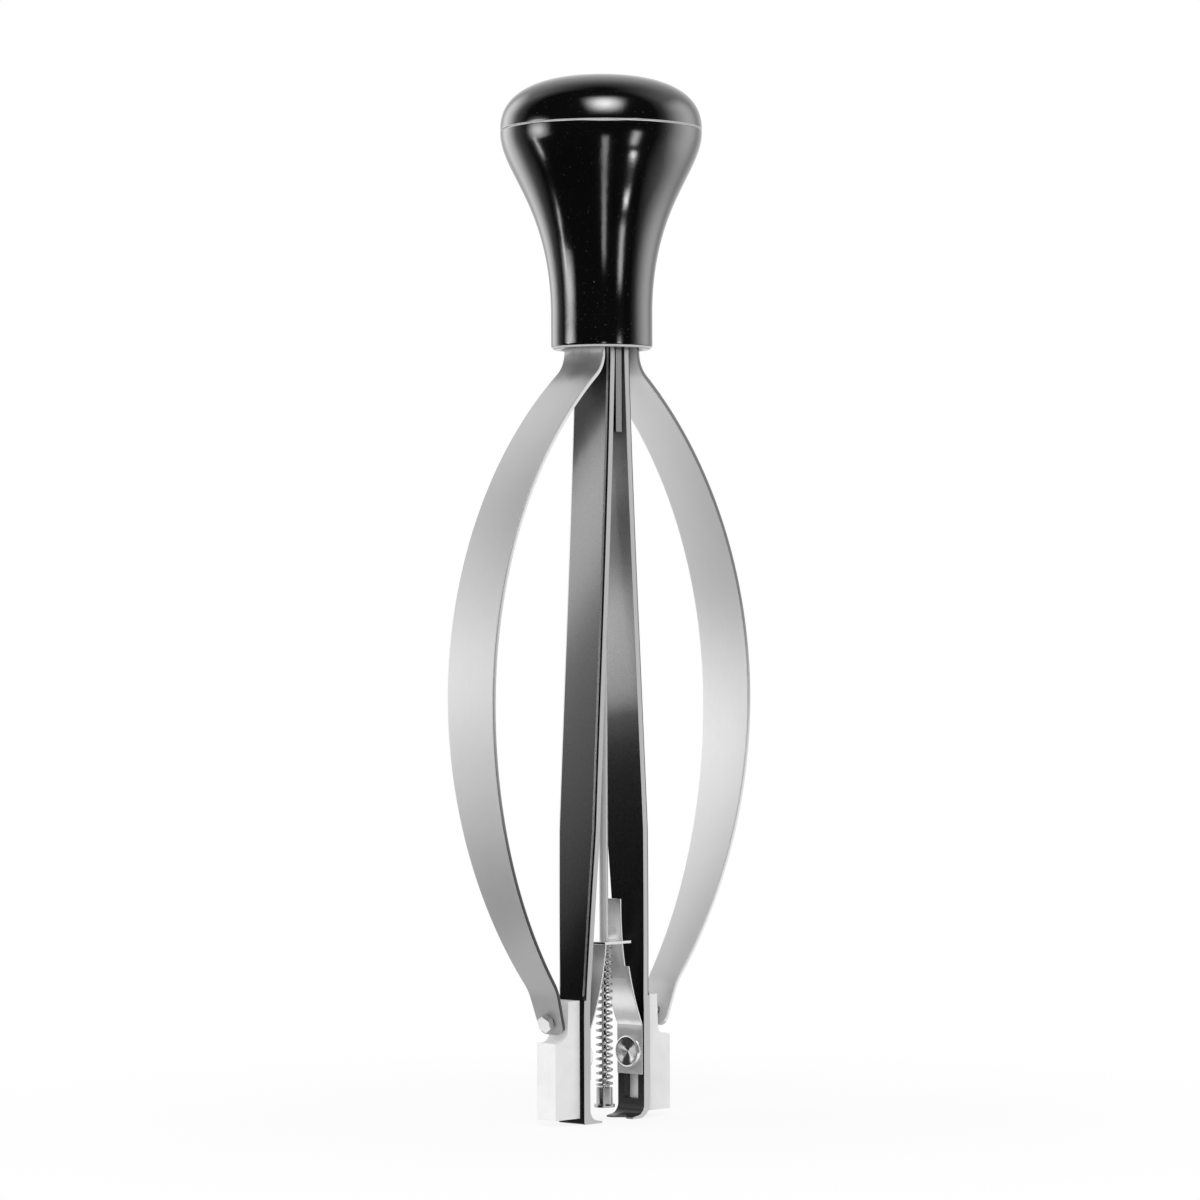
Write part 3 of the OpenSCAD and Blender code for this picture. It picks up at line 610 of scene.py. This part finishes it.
def bow_path():
    """Middle line of a bow on the right, from its upper pivot to its lower end."""
    lean = (math.sin(BOLT_LEAN), math.cos(BOLT_LEAN))
    out = (math.cos(BOLT_LEAN), -math.sin(BOLT_LEAN))
    foot = tuple(BOLT[i] + FOOT_BEND_R * out[i] + FOOT_BEND_RISE * lean[i] for i in (0, 1))
    upper_r, lower_r = bow_radius(ROOT_BEND, ROOT_BEND_R), bow_radius(foot, FOOT_BEND_R)
    upper, lower = (BOW_OUT - upper_r, BOW_MID_Z), (BOW_OUT - lower_r, BOW_MID_Z)
    top = math.atan2(ROOT_BEND[1] - upper[1], ROOT_BEND[0] - upper[0])
    low = math.atan2(foot[1] - lower[1], foot[0] - lower[0])
    path = [(BOW_ROOT_X, BOW_PIVOT_Z), (BOW_ROOT_X, BOW_PIVOT_Z - 1.5)]
    path += arc(ROOT_BEND, ROOT_BEND_R, math.pi, math.pi + top, BEND_STEPS)
    path += arc(upper, upper_r, top, 0, SPAN_STEPS)[1:]
    path += arc(lower, lower_r, 0, low, SPAN_STEPS)[1:]
    path += arc(foot, FOOT_BEND_R, math.pi + low, math.pi - BOLT_LEAN, BEND_STEPS)[1:]
    end = [BOLT[i] - BOW_TAIL * lean[i] for i in (0, 1)]
    start = path[-1]
    path += [(start[0] + (end[0] - start[0]) * t, start[1] + (end[1] - start[1]) * t)
             for t in (0.15, 0.3, 0.45, 0.6, 0.68, 0.76, 0.83, 0.89, 0.94, 0.975, 0.993, 1)]
    return path


def bow_width(z):
    """Width of a bow at a height: it narrows from its widest place to both ends."""
    if z > BOW_WIDE_Z:
        return BOW_W - (BOW_W - BOW_ROOT_W) * ((min(z, MOUTH_Z) - BOW_WIDE_Z) / (MOUTH_Z - BOW_WIDE_Z)) ** 2
    return BOW_W - (BOW_W - BOW_FOOT_W) * ((BOW_WIDE_Z - z) / (BOW_WIDE_Z - BOLT[1])) ** 2


def make_bow(side, sign):
    """One springy strip in place of the rigid halves, swept with rounded edges."""
    path = bow_path()
    tail = Vector(path[-1])
    round_r, corner_steps = 0.17, 4
    verts, faces = [], []
    ring = 4 * (corner_steps + 1)
    for i, (x, z) in enumerate(path):
        a, b = Vector(path[max(0, i - 1)]), Vector(path[min(len(path) - 1, i + 1)])
        d = (b - a).normalized()
        normal = Vector((-d.y, d.x))
        half = bow_width(z) / 2
        from_end = (Vector((x, z)) - tail).length
        if from_end < BOW_CORNER_R and z < BOLT[1] + 1:
            half -= BOW_CORNER_R - math.sqrt(BOW_CORNER_R ** 2 - (BOW_CORNER_R - from_end) ** 2)
        for corner, (su, sv) in enumerate(((1, 1), (-1, 1), (-1, -1), (1, -1))):
            for k in range(corner_steps + 1):
                turn = math.radians(90 * corner + 90 * k / corner_steps)
                u = su * (half - round_r) + round_r * math.cos(turn)
                v = sv * (BOW_T / 2 - round_r) + round_r * math.sin(turn)
                verts.append((sign * (x + normal.x * v), u, z + normal.y * v))
    for i in range(len(path) - 1):
        for k in range(ring):
            n = (k + 1) % ring
            faces.append((i * ring + k, i * ring + n, (i + 1) * ring + n, (i + 1) * ring + k))
    faces.append(tuple(range(ring)))
    faces.append(tuple(range((len(path) - 1) * ring, len(path) * ring))[::-1])
    bow = new_object(f"{side}_bow_strip", verts, faces)
    tidy(bow.data)
    hole = lathe(f"{side}_hole", [(0, -3), (BOW_HOLE_R, -3), (BOW_HOLE_R, 3), (0, 3)], 48)
    hole.matrix_world = (Matrix.Translation((sign * BOLT[0] * MM, 0, BOLT[1] * MM))
                         @ Matrix.Rotation(sign * BOLT_LEAN, 4, "Y") @ Matrix.Rotation(math.pi / 2, 4, "Y"))
    bpy.context.view_layer.update()
    cut = bow.modifiers.new("hole", "BOOLEAN")
    cut.operation = "DIFFERENCE"
    cut.object = hole
    apply_modifiers(bow)
    bpy.data.objects.remove(hole)
    face_steel, edge_steel = (LEFT_BOW, LEFT_BOW_EDGE) if sign < 0 else (RIGHT_BOW, RIGHT_BOW_EDGE)
    keep(bow, face_steel, None, [f"{side}_bow_upper", f"{side}_bow_lower"], 40)
    bow.data.materials.append(edge_steel)
    for face in bow.data.polygons:
        face.material_index = SIDE if abs(face.normal.y) > BOW_SIDE_LOOKS else FACE
    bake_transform(bow)


# ----------------------------------------------------------- guide screws

def make_screw(side, sign):
    """Guide screw with a dished head, given by how far its rings are from the tool's middle plane."""
    face, outer, thread = SCREW_FACE_X, SCREW_HEAD_R, THREAD_R - SEAT_GAP
    shoulder, end = BLOCK_X - SEAT_GAP, BLOCK_X + THREAD_LEN
    steps = (0.04, 0.12, 0.25, 0.4, 0.55, 0.7, 0.85, 0.96)
    dish = [(SCREW_DISH_R * t, face + SCREW_DISH * (1 - t)) for t in steps]
    rim = [(outer - 0.35, face + 0.01), (outer - 0.25, face), (outer - 0.15, face + 0.02),
           (outer - 0.06, face + 0.08), (outer, face + 0.2)]
    head = [(outer, LEAF_FACE_X - 0.08), (outer - 0.08, LEAF_FACE_X)]
    shank = [(SHANK_R, LEAF_FACE_X), (SHANK_R, shoulder), (thread, shoulder)]
    tip = [(thread, end - 0.2), (thread - 0.18, end), (0, end)]
    profile = [(0, face + SCREW_DISH), *dish, *rim, *head, *shank, *tip]
    screw = lathe(f"{side}_screw", profile, 96)
    place = Matrix.Translation((0, 0, SCREW_Z * MM)) @ Matrix.Rotation(sign * math.pi / 2, 4, "Y")
    screw.data.transform(place)
    keep(screw, SCREW_BRIGHT, f"{side}_slider", [f"{side}_guide_screw"], 28)


# ------------------------------------------------------------ coil spring

def coil_height(n):
    """Height of the wire's middle after n turns: the first and last turns lie closed."""
    low, high = COIL_LOW + WIRE_R + SEAT_GAP, COIL_HIGH - WIRE_R - SEAT_GAP
    closed = 2 * (WIRE_R + SEAT_GAP)
    pitch = (high - low - 2 * closed) / (COIL_TURNS - 2)
    if n < 1:
        return low + closed * n
    if n > COIL_TURNS - 1:
        return high - closed * (COIL_TURNS - n)
    return low + closed + pitch * (n - 1)


def make_coil():
    """The coil spring, swept from round wire."""
    sides, per_turn = 12, 32
    rings = COIL_TURNS * per_turn
    verts, faces = [], []
    for i in range(rings + 1):
        a = 2 * math.pi * i / per_turn
        z = coil_height(i / per_turn)
        rise = coil_height(min(COIL_TURNS, (i + 1) / per_turn)) - coil_height(max(0, (i - 1) / per_turn))
        climb = rise * per_turn / (4 * math.pi)
        tangent = Vector((-math.sin(a) * COIL_R, math.cos(a) * COIL_R, climb)).normalized()
        out = Vector((math.cos(a), math.sin(a), 0))
        up = tangent.cross(out) * -1
        middle = out * COIL_R + Vector((0, 0, z))
        for k in range(sides):
            b = 2 * math.pi * k / sides
            verts.append(middle + out * (WIRE_R * math.cos(b)) + up * (WIRE_R * math.sin(b)))
    for i in range(rings):
        for k in range(sides):
            n = (k + 1) % sides
            faces.append((i * sides + k, i * sides + n, (i + 1) * sides + n, (i + 1) * sides + k))
    faces.append(tuple(range(sides)))
    faces.append(tuple(range(rings * sides, (rings + 1) * sides))[::-1])
    coil = new_object("plunger_spring", verts, faces)
    tidy(coil.data)
    keep(coil, COIL_STEEL, "handle", ["coil_spring"], 60)
    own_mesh(coil)


def make_tube():
    """The plain round rod down the middle, bored for the plunger pin."""
    tube = lathe("guide_rod", [
        (TUBE_BORE_R, TUBE_LOW), (TUBE_R, TUBE_LOW), (TUBE_R, TUBE_HIGH - 0.1), (TUBE_R - 0.1, TUBE_HIGH),
        (TUBE_BORE_R, TUBE_HIGH)], 48)
    keep(tube, ROD_STEEL, "handle", ["guide_tube"])


# ------------------------------------------------------------------ build

make_knob()
for side, sign in (("left", -1), ("right", 1)):
    make_bow(side, sign)
    make_screw(side, sign)
    arm_reflections, leaf_steel = (LEFT_ARM_REFLECTIONS, LEFT_LEAF) if sign < 0 else (RIGHT_ARM_REFLECTIONS, RIGHT_LEAF)
    # An arm's faces carry painted reflections, its slot and dark facets painted shade, and its light facets a
    # painted highlight.
    arm_steel = [arm_reflections, GROUND_EDGE, PAINTED_SHADE_STEEL, BRIGHT_EDGE]
    dressed(f"{side}_arm_strip", f"{side}_arm", arm_steel, 0.1, chamfer=sign)
    # The feet's bevels take a brighter white, a painted highlight along the edges.
    dressed(f"{side}_foot", f"{side}_block", [FOOT_WHITE], 0.32, 3, edge=FOOT_PAINTED_GLINT)
    dressed(f"{side}_hex_bolt", f"{side}_bow_bolt", [BOLT_BRIGHT], 0.16)
    leaf = dressed(f"{side}_leaf_spring", f"{side}_leaf", [leaf_steel, BRIGHT_EDGE], 0.07)
    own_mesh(leaf)
make_coil()
make_tube()
dressed("tang_strip", "tang", [TANG_STEEL], 0.14)
dressed("seat_plate", "spring_seat", [CHROME], 0.08)
dressed("plunger", "plunger_pin", [CHROME], 0.05)
dressed("cup", "ejector_cup", [COIL_STEEL], 0.08)

CARRIED_OVER = {"handle_nut": INNER_STEEL, "handle_washer": INNER_STEEL, "root_rivets": INNER_STEEL,
                "left_spacer": INNER_STEEL, "right_spacer": INNER_STEEL, "left_bow_root": LEFT_BOW,
                "right_bow_root": RIGHT_BOW}
for node, material in CARRIED_OVER.items():
    mesh = NODES[node].data
    mesh.materials.clear()
    mesh.materials.append(material)


# ------------------------------------------------------ camera and studio

# Lengths here are in metres, but for the size of a pixel
AIM_Z = 0.1
CAMERA_DISTANCE, CAMERA_HEIGHT, CAMERA_LEFT = 0.80, 0.085, 0.00051
CAMERA_ROLL = math.radians(0.2)
CAMERA_SHIFT_Y = 0.038
MM_PER_PIXEL, IMAGE_PIXELS = 0.17924, 1200
AMBIENT = 0.7
FLOOR_SIZE, FLOOR_Z = 3.0, -0.00005
FLAG_LOW = 0.001
FLAG_FADE = 4
KNOB_PIECES = ("knob_body", "knob_cap")
AZIMUTH = math.radians(-47)
BACK = Vector((math.sin(AZIMUTH), -math.cos(AZIMUTH), 0))
RIGHT = Vector((math.cos(AZIMUTH), math.sin(AZIMUTH), 0))
UP = Vector((0, 0, 1))


def bearing(turn, elevation):
    """Unit vector at a turn to the right of the camera, seen from the tool, and an elevation."""
    t, e = math.radians(turn), math.radians(elevation)
    return (BACK * math.cos(t) + RIGHT * math.sin(t)) * math.cos(e) + UP * math.sin(e)


def make_camera():
    """Camera at the height and turn that the tool is seen from, a touch to its left and rolled a little."""
    data = bpy.data.cameras.new("camera")
    data.sensor_width = 36
    data.lens = data.sensor_width * CAMERA_DISTANCE / (IMAGE_PIXELS * MM_PER_PIXEL * MM)
    data.shift_y = CAMERA_SHIFT_Y
    data.clip_start, data.clip_end = 0.05, 20
    camera = bpy.data.objects.new("camera", data)
    SCENE.collection.objects.link(camera)
    up = UP * math.cos(CAMERA_ROLL) + RIGHT * math.sin(CAMERA_ROLL)
    across = RIGHT * math.cos(CAMERA_ROLL) - UP * math.sin(CAMERA_ROLL)
    place = BACK * CAMERA_DISTANCE - RIGHT * CAMERA_LEFT + UP * CAMERA_HEIGHT
    camera.matrix_world = Matrix.Translation(place) @ Matrix((across, up, BACK)).transposed().to_4x4()
    SCENE.camera = camera


def panel(name, turn, elevation, distance, size, radiance, knob_only=False, soft=(1, 1), aim_z=AIM_Z):
    """Soft box that faces the tool, given by where it stands and how bright it looks.

    A knob_only panel lights the black knob alone, and the others light all but the knob. Soft says how
    far in its brightness fades from the sides and from the top and bottom, as shares of half its size.
    """
    width, height = size
    data = bpy.data.lights.new(name, "AREA")
    data.shape = "RECTANGLE"
    data.size, data.size_y = width, height
    data.energy = radiance * math.pi * width * height
    light = bpy.data.objects.new(name, data)
    SCENE.collection.objects.link(light)
    aim = UP * aim_z
    back = bearing(turn, elevation)
    light.location = aim + back * distance
    light.rotation_euler = back.to_track_quat("Z", "Y").to_euler()
    light.visible_camera = False
    receivers = light.light_linking.receiver_collection = bpy.data.collections.new(f"{name}_receivers")
    for piece in KNOB_PIECES:
        receivers.objects.link(bpy.data.objects[piece])
    for link in receivers.collection_objects:
        link.light_linking.link_state = "INCLUDE" if knob_only else "EXCLUDE"
    if knob_only:
        fade_edges(data, soft)


def fade_edges(data, soft):
    """Fades a lamp's brightness towards its edges."""
    data.use_nodes = True
    tree = data.node_tree
    link = tree.links.new
    place = add_node(tree, "ShaderNodeNewGeometry")
    split = add_node(tree, "ShaderNodeSeparateXYZ")
    link(place.outputs["Parametric"], split.inputs[0])
    factors = []
    for axis, share in zip(("X", "Y"), soft):
        centred = add_node(tree, "ShaderNodeMath", operation="PINGPONG")
        centred.inputs[1].default_value = 0.5
        link(split.outputs[axis], centred.inputs[0])
        fade = add_node(tree, "ShaderNodeMapRange", interpolation_type="SMOOTHSTEP")
        fade.inputs["From Max"].default_value = 0.5 * share
        link(centred.outputs[0], fade.inputs["Value"])
        factors.append(fade.outputs["Result"])
    both = add_node(tree, "ShaderNodeMath", operation="MULTIPLY")
    for i in (0, 1):
        link(factors[i], both.inputs[i])
    link(both.outputs[0], tree.nodes["Emission"].inputs["Strength"])


def ray_is(tree, *kinds):
    """Socket that is 1 for rays of any of these kinds, and 0 for others."""
    path = add_node(tree, "ShaderNodeLightPath")
    found = path.outputs[kinds[0]]
    for kind in kinds[1:]:
        either = add_node(tree, "ShaderNodeMath", operation="MAXIMUM")
        tree.links.new(found, either.inputs[0])
        tree.links.new(path.outputs[kind], either.inputs[1])
        found = either.outputs[0]
    return found


def make_world():
    """White all round, at a lower level for the light that falls on matte surfaces."""
    world = bpy.data.worlds.new("studio")
    SCENE.world = world
    world.use_nodes = True
    tree = world.node_tree
    tree.nodes.clear()
    out = add_node(tree, "ShaderNodeOutputWorld")
    mix = add_node(tree, "ShaderNodeMixShader")
    tree.links.new(ray_is(tree, "Is Camera Ray", "Is Glossy Ray", "Is Transmission Ray"), mix.inputs[0])
    for i, strength in ((1, AMBIENT), (2, 1.0)):
        light = add_node(tree, "ShaderNodeBackground")
        light.inputs["Color"].default_value = (1, 1, 1, 1)
        light.inputs["Strength"].default_value = strength
        tree.links.new(light.outputs[0], mix.inputs[i])
    tree.links.new(mix.outputs[0], out.inputs["Surface"])


def flat_material(name, level):
    """Dull grey with no gloss at all."""
    material = bpy.data.materials.new(name)
    material.use_nodes = True
    shader = material.node_tree.nodes["Principled BSDF"]
    shader.inputs["Base Color"].default_value = (level, level, level, 1)
    shader.inputs["Roughness"].default_value = 1.0
    shader.inputs["Specular IOR Level"].default_value = 0.0
    return material


def make_floor():
    """Pale floor that the camera sees as white, with the tool's shadow kept on it."""
    half = FLOOR_SIZE / 2 / MM
    obj = new_object("floor", [(-half, -half, 0), (half, -half, 0), (half, half, 0), (-half, half, 0)],
                     [(0, 1, 2, 3)])
    obj.location.z = FLOOR_Z
    material = flat_material("floor_white", 0.9)
    tree = material.node_tree
    shader, out = tree.nodes["Principled BSDF"], tree.nodes["Material Output"]
    glow = add_node(tree, "ShaderNodeEmission")
    glow.inputs["Strength"].default_value = 1.0
    place = add_node(tree, "ShaderNodeNewGeometry")
    reach = add_node(tree, "ShaderNodeVectorMath", operation="LENGTH")
    share = add_node(tree, "ShaderNodeMapRange", interpolation_type="SMOOTHSTEP")
    for key, number in (("From Min", 0.02), ("From Max", 0.16), ("To Min", 0.85), ("To Max", 1.0)):
        share.inputs[key].default_value = number
    part = add_node(tree, "ShaderNodeMath", operation="MULTIPLY")
    mix = add_node(tree, "ShaderNodeMixShader")
    link = tree.links.new
    link(ray_is(tree, "Is Camera Ray", "Is Glossy Ray"), part.inputs[0])
    link(place.outputs["Position"], reach.inputs[0])
    link(reach.outputs["Value"], share.inputs["Value"])
    link(share.outputs["Result"], part.inputs[1])
    link(part.outputs[0], mix.inputs[0])
    link(shader.outputs[0], mix.inputs[1])
    link(glow.outputs[0], mix.inputs[2])
    link(mix.outputs[0], out.inputs["Surface"])
    obj.data.materials.append(material)


def make_flag(name, turns, elevations, radius, level):
    """Dark studio card, seen only in reflections, that gives the gloss its dark tones.

    It stands round the tool at the radius, and its lower part lies on the floor in front of the tool. It
    fades out over FLAG_FADE faces towards its sides and its top.
    """
    steps_t, steps_e = 32, 24
    verts, faces = [], []
    for j in range(steps_e + 1):
        e = elevations[0] + (elevations[1] - elevations[0]) * j / steps_e
        for i in range(steps_t + 1):
            t = turns[0] + (turns[1] - turns[0]) * i / steps_t
            point = bearing(t, e) * radius
            if point.z < FLAG_LOW - AIM_Z:
                point *= (FLAG_LOW - AIM_Z) / point.z
            verts.append((point + UP * AIM_Z) / MM)
    for j in range(steps_e):
        for i in range(steps_t):
            a = j * (steps_t + 1) + i
            faces.append((a, a + 1, a + steps_t + 2, a + steps_t + 1))
    obj = new_object(name, verts, faces)
    inside = obj.data.attributes.new("inside", "FLOAT", "POINT")
    for j in range(steps_e + 1):
        for i in range(steps_t + 1):
            inside.data[j * (steps_t + 1) + i].value = min(1.0, min(i, steps_t - i, steps_e - j) / FLAG_FADE)
    material = flat_material(name, level)
    tree = material.node_tree
    gap = add_node(tree, "ShaderNodeBsdfTransparent")
    mix = add_node(tree, "ShaderNodeMixShader")
    share = add_node(tree, "ShaderNodeAttribute", attribute_name="inside")
    tree.links.new(share.outputs["Fac"], mix.inputs[0])
    tree.links.new(gap.outputs[0], mix.inputs[1])
    tree.links.new(tree.nodes["Principled BSDF"].outputs[0], mix.inputs[2])
    tree.links.new(mix.outputs[0], tree.nodes["Material Output"].inputs["Surface"])
    obj.data.materials.append(material)
    obj.visible_camera = False
    obj.visible_diffuse = False
    obj.visible_shadow = False
    obj.visible_transmission = False


make_camera()
make_world()
make_floor()
make_flag("dark_card", (-122, 94), (-62, 130), 1.3, 0.005)
panel("key_light", 2, 42, 0.9, (0.42, 0.3), 6)
panel("left_card", -86, 0, 1.0, (1.2, 1.2), 1.0)
panel("edge_strip", 0, 0, 1.2, (0.14, 0.8), 2.5)
panel("crown_glow", 5, 42, 0.8, (0.71, 0.85), 20, True, aim_z=0.16)
panel("left_glow", -76, -3, 0.6, (0.4, 0.42), 11, True, aim_z=0.16)
panel("left_streak", -81, 0, 0.18, (0.026, 0.087), 9, True, (1, 0.6), 0.101)
panel("right_spot", 44, -36, 0.2, (0.042, 0.026), 22, True, aim_z=0.166)
panel("right_streak", 40, 0, 0.18, (0.05, 0.09), 9, True, (1, 0.5), 0.102)
panel("middle_streak", 5, 0, 0.14, (0.026, 0.12), 4.5, True, (0.6, 0.4), 0.072)
panel("left_rim", -132, 0, 0.3, (0.26, 0.5), 2.4, True, (0.9, 0.6), 0.21)
panel("right_rim", 108, 0, 0.3, (0.4, 0.5), 2.8, True, (1, 0.6), 0.21)

SCENE.view_settings.view_transform = "Standard"
